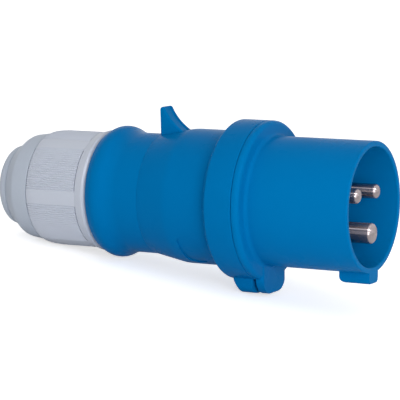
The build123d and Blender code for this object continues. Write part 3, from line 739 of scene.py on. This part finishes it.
def handle_shell():
    """The turned handle, with the fin, the rear of the lug and the thread, and what is cut out of it."""
    body = turned([
        (SEAM, SOCKET_R), (SEAM, FLANGE_R, 0.5), (FLANGE_REAR + FLANGE_STEP, FLANGE_R, 0.8),
        (FLANGE_REAR, FLANGE_R - FLANGE_STEP, 0.8), (FLANGE_REAR, GRIP_R, 2.0), (GRIP_END, GRIP_R, 14.0),
        (TAPER_END, WAIST_R + 0.2, 0.3), (WAIST_FRONT, WAIST_R), (WAIST_REAR, WAIST_R, 9.0),
        (BEAD_PEAK, BEAD_R, 4.5), (HANDLE_REAR, HANDLE_REAR_R, 0.4), (HANDLE_REAR, NECK_R),
        (NECK_END, NECK_R, 0.4), (NECK_END, NECK_BORE_R), (CAGE_FRONT, NECK_BORE_R), (CAGE_FRONT, THROAT_R),
        (THROAT_FRONT, THROAT_R), (HOLLOW_REAR, WAIST_R - WALL, 2.0), (HOLLOW_WAIST, WAIST_R - WALL),
        (GRIP_END, GRIP_R - WALL), (SOCKET_END, GRIP_R - WALL), (SOCKET_END, SOCKET_R),
    ])
    heel_front = SEAM - LUG_NOTCH
    heel = lug_half(heel_front, heel_front - HEEL_LENGTH, HEEL_SLOPE, 0.4, 0.8, HEEL_CORNER)
    return combined(body, joins=[fin(), heel, neck_thread()],
                    cuts=[ramp_groove(), label_recess(), *bayonet_ways()])


finished("handle_moulding", handle_shell(), "handle_shell")

# %% [markdown]
# The gland nut is grey. Its grip is six panels of fine V ribs with a plain strip between each pair. The
# section is drawn once, as a chain of edges: one rib's two flanks, repeated by a spin that copies, then a
# spin that sweeps the plain strip. Cutting each groove out of a cylinder would give the same nut with over a
# hundred Booleans.

# %% The nut's ribbed section
RIB_TIP_R = 20.3
RIB_VALLEY_R = 19.98
PANELS = 6
PANEL_DEGREES = 44
LAND_PHASE = 183.7  # middle of the first plain strip
LAND_STEPS = 12
RIBS = 19
RIB_MERGE = 1e-3


def rib_ring(bm, x):
    """The nut's ribbed section as a ring of edges."""
    pitch = math.radians(PANEL_DEGREES / RIBS)
    land = math.radians(360 / PANELS - PANEL_DEGREES)
    panel = pitch * RIBS

    def point(radius, angle):
        return bm.verts.new((x, radius * math.cos(angle), radius * math.sin(angle)))

    flanks = [point(RIB_VALLEY_R, 0), point(RIB_TIP_R, pitch / 2), point(RIB_VALLEY_R, pitch)]
    chain = [bm.edges.new(flanks[:2]), bm.edges.new(flanks[1:])]
    bmesh.ops.spin(bm, geom=flanks + chain, cent=(0, 0, 0), axis=(1, 0, 0), dvec=(0, 0, 0),
                   angle=pitch * (RIBS - 1), steps=RIBS - 1, use_duplicate=True)
    strip = point(RIB_TIP_R, panel + pitch / 2)
    bm.edges.new((point(RIB_VALLEY_R, panel), strip))
    bmesh.ops.spin(bm, geom=[strip], cent=(0, 0, 0), axis=(1, 0, 0), dvec=(0, 0, 0), angle=land - pitch,
                   steps=LAND_STEPS, use_duplicate=False)
    bm.edges.new((point(RIB_TIP_R, panel + land - pitch / 2), point(RIB_VALLEY_R, panel + land)))
    bmesh.ops.remove_doubles(bm, verts=bm.verts[:], dist=RIB_MERGE)
    bmesh.ops.spin(bm, geom=bm.verts[:] + bm.edges[:], cent=(0, 0, 0), axis=(1, 0, 0), dvec=(0, 0, 0),
                   angle=math.tau * (PANELS - 1) / PANELS, steps=PANELS - 1, use_duplicate=True)
    bmesh.ops.remove_doubles(bm, verts=bm.verts[:], dist=RIB_MERGE)
    bmesh.ops.rotate(bm, verts=bm.verts[:], cent=(0, 0, 0),
                     matrix=Matrix.Rotation(math.radians(LAND_PHASE) + land / 2, 3, "X"))


print("ribs are", round(math.tau * RIB_TIP_R * PANEL_DEGREES / RIBS / 360, 2), "mm apart")

# %% [markdown]
# The closed ring is then drawn out along the axis in short steps, each scaled a little, which gives the
# tapered end. The collar in front is turned and joined on. The bore is turned and cut out, and leaves a lip
# inside, which the dome snaps onto. A narrow step at the front of each panel sets its ribs off from the
# collar.

# %% Gland nut
NUT_FRONT = -98.9
NUT_REAR = -123.9
NUT_COLLAR_R = 21.2
NUT_CHAMFER = 1.5
COLLAR_STEPS = 192
RIBS_FRONT = -103.4
NUT_TAPER = ((-118.5, 1.0), (-121.0, 0.992), (-122.8, 0.978), (-123.6, 0.965), (NUT_REAR, 0.945))
STEP_WIDTH = 0.5
STEP_DEPTH = 0.25
NUT_BORE_R = 17.7
NUT_RELIEF_R = NUT_BORE_R + 0.5
SNAP_LIP_FRONT = NUT_REAR + 4.2
SNAP_LIP_REAR = NUT_REAR + 3.0


def ribbed_body():
    """The ribbed section drawn out from under the collar to the nut's rear."""
    bm = bmesh.new()
    at_x, scale_now = RIBS_FRONT + 1, 1.0
    rib_ring(bm, at_x)
    ring = bm.edges[:]
    bmesh.ops.contextual_create(bm, geom=ring)
    for x, scale in NUT_TAPER:
        grown = bmesh.ops.extrude_edge_only(bm, edges=ring)["geom"]
        verts = [part for part in grown if isinstance(part, bmesh.types.BMVert)]
        ring = [part for part in grown if isinstance(part, bmesh.types.BMEdge)]
        grow = scale / scale_now
        bmesh.ops.translate(bm, verts=verts, vec=(x - at_x, 0, 0))
        bmesh.ops.scale(bm, verts=verts, vec=(1, grow, grow))
        at_x, scale_now = x, scale
    bmesh.ops.contextual_create(bm, geom=ring)
    bmesh.ops.recalc_face_normals(bm, faces=bm.faces[:])
    return bm


def gland_nut():
    """The ribbed body with its collar, less the bore and the steps in front of the ribs."""
    ribs = ribbed_body()
    collar = turned([
        (NUT_FRONT, 0), (NUT_FRONT, NUT_COLLAR_R - NUT_CHAMFER, 0.3),
        (NUT_FRONT - NUT_CHAMFER, NUT_COLLAR_R, 0.5), (RIBS_FRONT, RIB_TIP_R + 0.1), (RIBS_FRONT, 0),
    ], steps=COLLAR_STEPS)
    bore = turned([
        (NUT_FRONT + 1, 0), (NUT_FRONT + 1, NUT_BORE_R), (NECK_END - 1, NUT_BORE_R),
        (NECK_END - 1, NUT_RELIEF_R), (SNAP_LIP_FRONT, NUT_RELIEF_R), (SNAP_LIP_FRONT, NUT_BORE_R),
        (SNAP_LIP_REAR, NUT_BORE_R), (SNAP_LIP_REAR, NUT_RELIEF_R), (NUT_REAR - 1, NUT_RELIEF_R),
        (NUT_REAR - 1, 0),
    ])
    steps = [sector(RIBS_FRONT, RIBS_FRONT - STEP_WIDTH, RIB_TIP_R + 1,
                    LAND_PHASE + (panel + 0.5) * 360 / PANELS, PANEL_DEGREES, RIB_VALLEY_R - STEP_DEPTH)
             for panel in range(PANELS)]
    return combined(ribs, joins=[collar], cuts=[bore, *steps])


finished("gland_nut_moulding", gland_nut(), "gland_nut", crease=24)

# %% [markdown]
# The dome that the nut draws onto the claws is another turned moulding, with a fine groove ahead of a
# rounded nose ring. Its hollow is a cone, which closes the claws on the cable. A groove round its skirt takes
# the lip inside the nut, so that the two travel together.

# %% Gland dome
DOME_R = 19.1
DOME_FRONT = -124.2
DOME_REAR = -135.8
DOME_SHOULDER = DOME_FRONT - 6.6
DOME_SHOULDER_R = 18.2
DOME_REAR_R = 14.8
NOSE_GROOVE_R = 13.5
NOSE_R = 14.1
NOSE_END = DOME_REAR - 3.5
CABLE_HOLE_R = 9.0
CONE_END = DOME_FRONT - 10.0
DOME_SKIRT_R = 17.9
SKIRT_FRONT = DOME_FRONT + 9.6
SNAP_GROOVE_FRONT = NUT_REAR + 4.5
SNAP_GROOVE_REAR = NUT_REAR + 2.7
SNAP_GROOVE_R = NUT_BORE_R - 0.3


def gland_dome():
    """The dome, its skirt inside the nut and its cone inside, in one outline."""
    bore_r = DOME_SKIRT_R - WALL
    return turned([
        (SKIRT_FRONT, bore_r), (SKIRT_FRONT, DOME_SKIRT_R, 0.4), (SNAP_GROOVE_FRONT, DOME_SKIRT_R),
        (SNAP_GROOVE_FRONT, SNAP_GROOVE_R), (SNAP_GROOVE_REAR, SNAP_GROOVE_R),
        (SNAP_GROOVE_REAR, DOME_SKIRT_R), (DOME_FRONT, DOME_SKIRT_R),
        (DOME_FRONT, DOME_R, 0.4), (DOME_SHOULDER, DOME_SHOULDER_R, 3.2), (DOME_REAR + 0.7, DOME_REAR_R, 0.5),
        (DOME_REAR + 0.1, NOSE_GROOVE_R, 0.4), (DOME_REAR - 0.6, NOSE_R, 0.4),
        (NOSE_END, NOSE_R, 2.4), (NOSE_END, CABLE_HOLE_R, 0.8),
        (CONE_END, CABLE_HOLE_R), (CONE_END, CABLE_HOLE_R + 0.2), (DOME_FRONT, bore_r),
    ])


finished("gland_dome_moulding", gland_dome(), "gland_dome")

# %% [markdown]
# The contact pins are turned on a lathe: a shank with a rounded tip, a thicker seat, a collar that the
# carrier holds, and a head with a slot for the wire and a hole for its screw. The slot is cut in from the
# rear end, and the hole is drilled across the axis to meet it.

# %% Contact pins
PIN_CIRCLE_R = 8.75
PINS = {"line": (150, 2.5, 2.0), "neutral": (30, 2.5, 2.0), "earth": (270, 3.5, 0.1)}  # angle, radius, recess
PIN_TIP_ROUND = 1.1
PIN_STEPS = 64
SEAT_STEP = 0.4
BOSS_FRONT = -35.0
CARRIER_REAR = -44.0
COLLAR_FRONT = CARRIER_REAR + 1.5
COLLAR_R = 6.8
HEAD_R = 5.5
HEAD_REAR = -59.0
WIRE_SLOT_LOW = (HEAD_REAR - 1, -2.6, -2.5)
WIRE_SLOT_HIGH = (HEAD_REAR + 10, 2.2, 2.5)
SCREW_X = -54.0
SCREW_HOLE_R = 2.05


def contact_pin(shank_r, recess):
    """A pin on the axis, with its tip recess behind the mouth."""
    body = turned([
        (-recess, 0), (-recess, shank_r, PIN_TIP_ROUND), (BOSS_FRONT, shank_r),
        (BOSS_FRONT, shank_r + SEAT_STEP),
        (COLLAR_FRONT, shank_r + SEAT_STEP), (COLLAR_FRONT, COLLAR_R, 0.2), (CARRIER_REAR, COLLAR_R),
        (CARRIER_REAR, HEAD_R), (HEAD_REAR, HEAD_R, 0.4), (HEAD_REAR, 0),
    ], steps=PIN_STEPS)
    hole = bmesh.new()
    upright = Matrix.Translation((SCREW_X, HEAD_R / 2, 0)) @ Matrix.Rotation(math.radians(90), 4, "X")
    bmesh.ops.create_cone(hole, cap_ends=True, segments=PIN_STEPS // 2, radius1=SCREW_HOLE_R,
                          radius2=SCREW_HOLE_R, depth=HEAD_R + 1, matrix=upright)
    return combined(body, cuts=[block(WIRE_SLOT_LOW, WIRE_SLOT_HIGH), hole])


for name, (angle, shank_r, recess) in PINS.items():
    finished(f"{name}_pin_turning", around(contact_pin(shank_r, recess), angle, (0, PIN_CIRCLE_R, 0)),
             f"{name}_pin")

# %% [markdown]
# The floor is a large pale plane. It has to look white to the camera, yet keep the plug's soft shadow, and
# it mustn't throw extra light on the plug. So a plain glow that camera rays see is added to its own diffuse
# white. Mirror and glass rays see less of it, because a full white floor would haze the plug's underside.
# The world is white to all these rays, and half as strong where it lights things.

# %% Floor and world
FLOOR_SIZE = 6.0
FLOOR_GLOW = 0.62
MIRROR_GLOW = 0.1
WORLD_LIGHT = 0.5


def seen_directly(tree, by_camera, by_mirror):
    """by_camera for camera rays, by_mirror for glossy and transmission rays, and 0 for all other rays."""
    path = add(tree, "ShaderNodeLightPath")
    mirror = add(tree, "ShaderNodeMath", {"operation": "MAXIMUM"})
    tree.links.new(path.outputs["Is Glossy Ray"], mirror.inputs[0])
    tree.links.new(path.outputs["Is Transmission Ray"], mirror.inputs[1])
    part = add(tree, "ShaderNodeMath", {"operation": "MULTIPLY"})
    tree.links.new(mirror.outputs[0], part.inputs[0])
    part.inputs[1].default_value = by_mirror
    both = add(tree, "ShaderNodeMath", {"operation": "MULTIPLY_ADD"})
    tree.links.new(path.outputs["Is Camera Ray"], both.inputs[0])
    both.inputs[1].default_value = by_camera
    tree.links.new(part.outputs[0], both.inputs[2])
    return both.outputs[0]


def pale_floor():
    """A plane that shows white, keeps the shadow and is no part of the plug."""
    bm = bmesh.new()
    bmesh.ops.create_grid(bm, x_segments=1, y_segments=1, size=FLOOR_SIZE / 2)
    floor = as_object("floor", bm)
    material, tree, output = new_material("pale_floor")
    matt = add(tree, "ShaderNodeBsdfDiffuse", None, {"Color": linear("F4F4F4")})
    glow = add(tree, "ShaderNodeEmission", None,
               {"Color": linear("FFFFFF"), "Strength": seen_directly(tree, FLOOR_GLOW, MIRROR_GLOW)})
    both = add(tree, "ShaderNodeAddShader")
    tree.links.new(matt.outputs[0], both.inputs[0])
    tree.links.new(glow.outputs[0], both.inputs[1])
    tree.links.new(both.outputs[0], output.inputs[0])
    floor.data.materials.append(material)


def pale_world():
    """A world that shows white and gives a softer fill."""
    world = bpy.data.worlds.new("studio")
    world.use_nodes = True
    tree = world.node_tree
    tree.nodes.clear()
    output = tree.nodes.new("ShaderNodeOutputWorld")
    strength = add(tree, "ShaderNodeMapRange", None,
                   {"Value": seen_directly(tree, 1.0, 1.0), "To Min": WORLD_LIGHT, "To Max": 1.0})
    sky = add(tree, "ShaderNodeBackground", None,
              {"Color": linear("FFFFFF"), "Strength": strength.outputs["Result"]})
    tree.links.new(sky.outputs[0], output.inputs[0])
    bpy.context.scene.world = world


pale_floor()
pale_world()
print("the floor is", FLOOR_SIZE, "m wide and the world's fill is", WORLD_LIGHT)

# %% [markdown]
# Plain studio light: one large soft box above and in front, one smaller on the mouth's side to open up
# the sleeve, and the world as fill. A small one high on that side lights reflections only, and draws the
# bright line along each pin. Each lamp is aimed at the plug's middle. The powers are chosen so that the
# blue renders about as it is written.

# %% Lamps
AIM = Vector((0, 0, 0.03))


def soft_box(name, place, size, watts, in_reflections_only=False):
    """A square lamp aimed at the plug, size metres across."""
    data = bpy.data.lights.new(name, "AREA")
    data.shape = "SQUARE"
    data.size = size
    data.energy = watts
    lamp = bpy.data.objects.new(name, data)
    bpy.context.scene.collection.objects.link(lamp)
    lamp.location = place
    lamp.visible_diffuse = not in_reflections_only
    lamp.rotation_mode = "QUATERNION"
    lamp.rotation_quaternion = (Vector(place) - AIM).to_track_quat("Z", "Y")
    print(name, watts, "W")


soft_box("top_light", (0.0, -0.25, 0.9), size=0.9, watts=1.6)
soft_box("mouth_light", (0.65, -0.65, 0.2), size=0.5, watts=4.8)
soft_box("glint_light", (0.62, -0.36, 0.62), size=0.08, watts=8.0, in_reflections_only=True)

# %% [markdown]
# Standard view keeps colours as written.

# %% Finish
bpy.context.scene.view_settings.view_transform = "Standard"
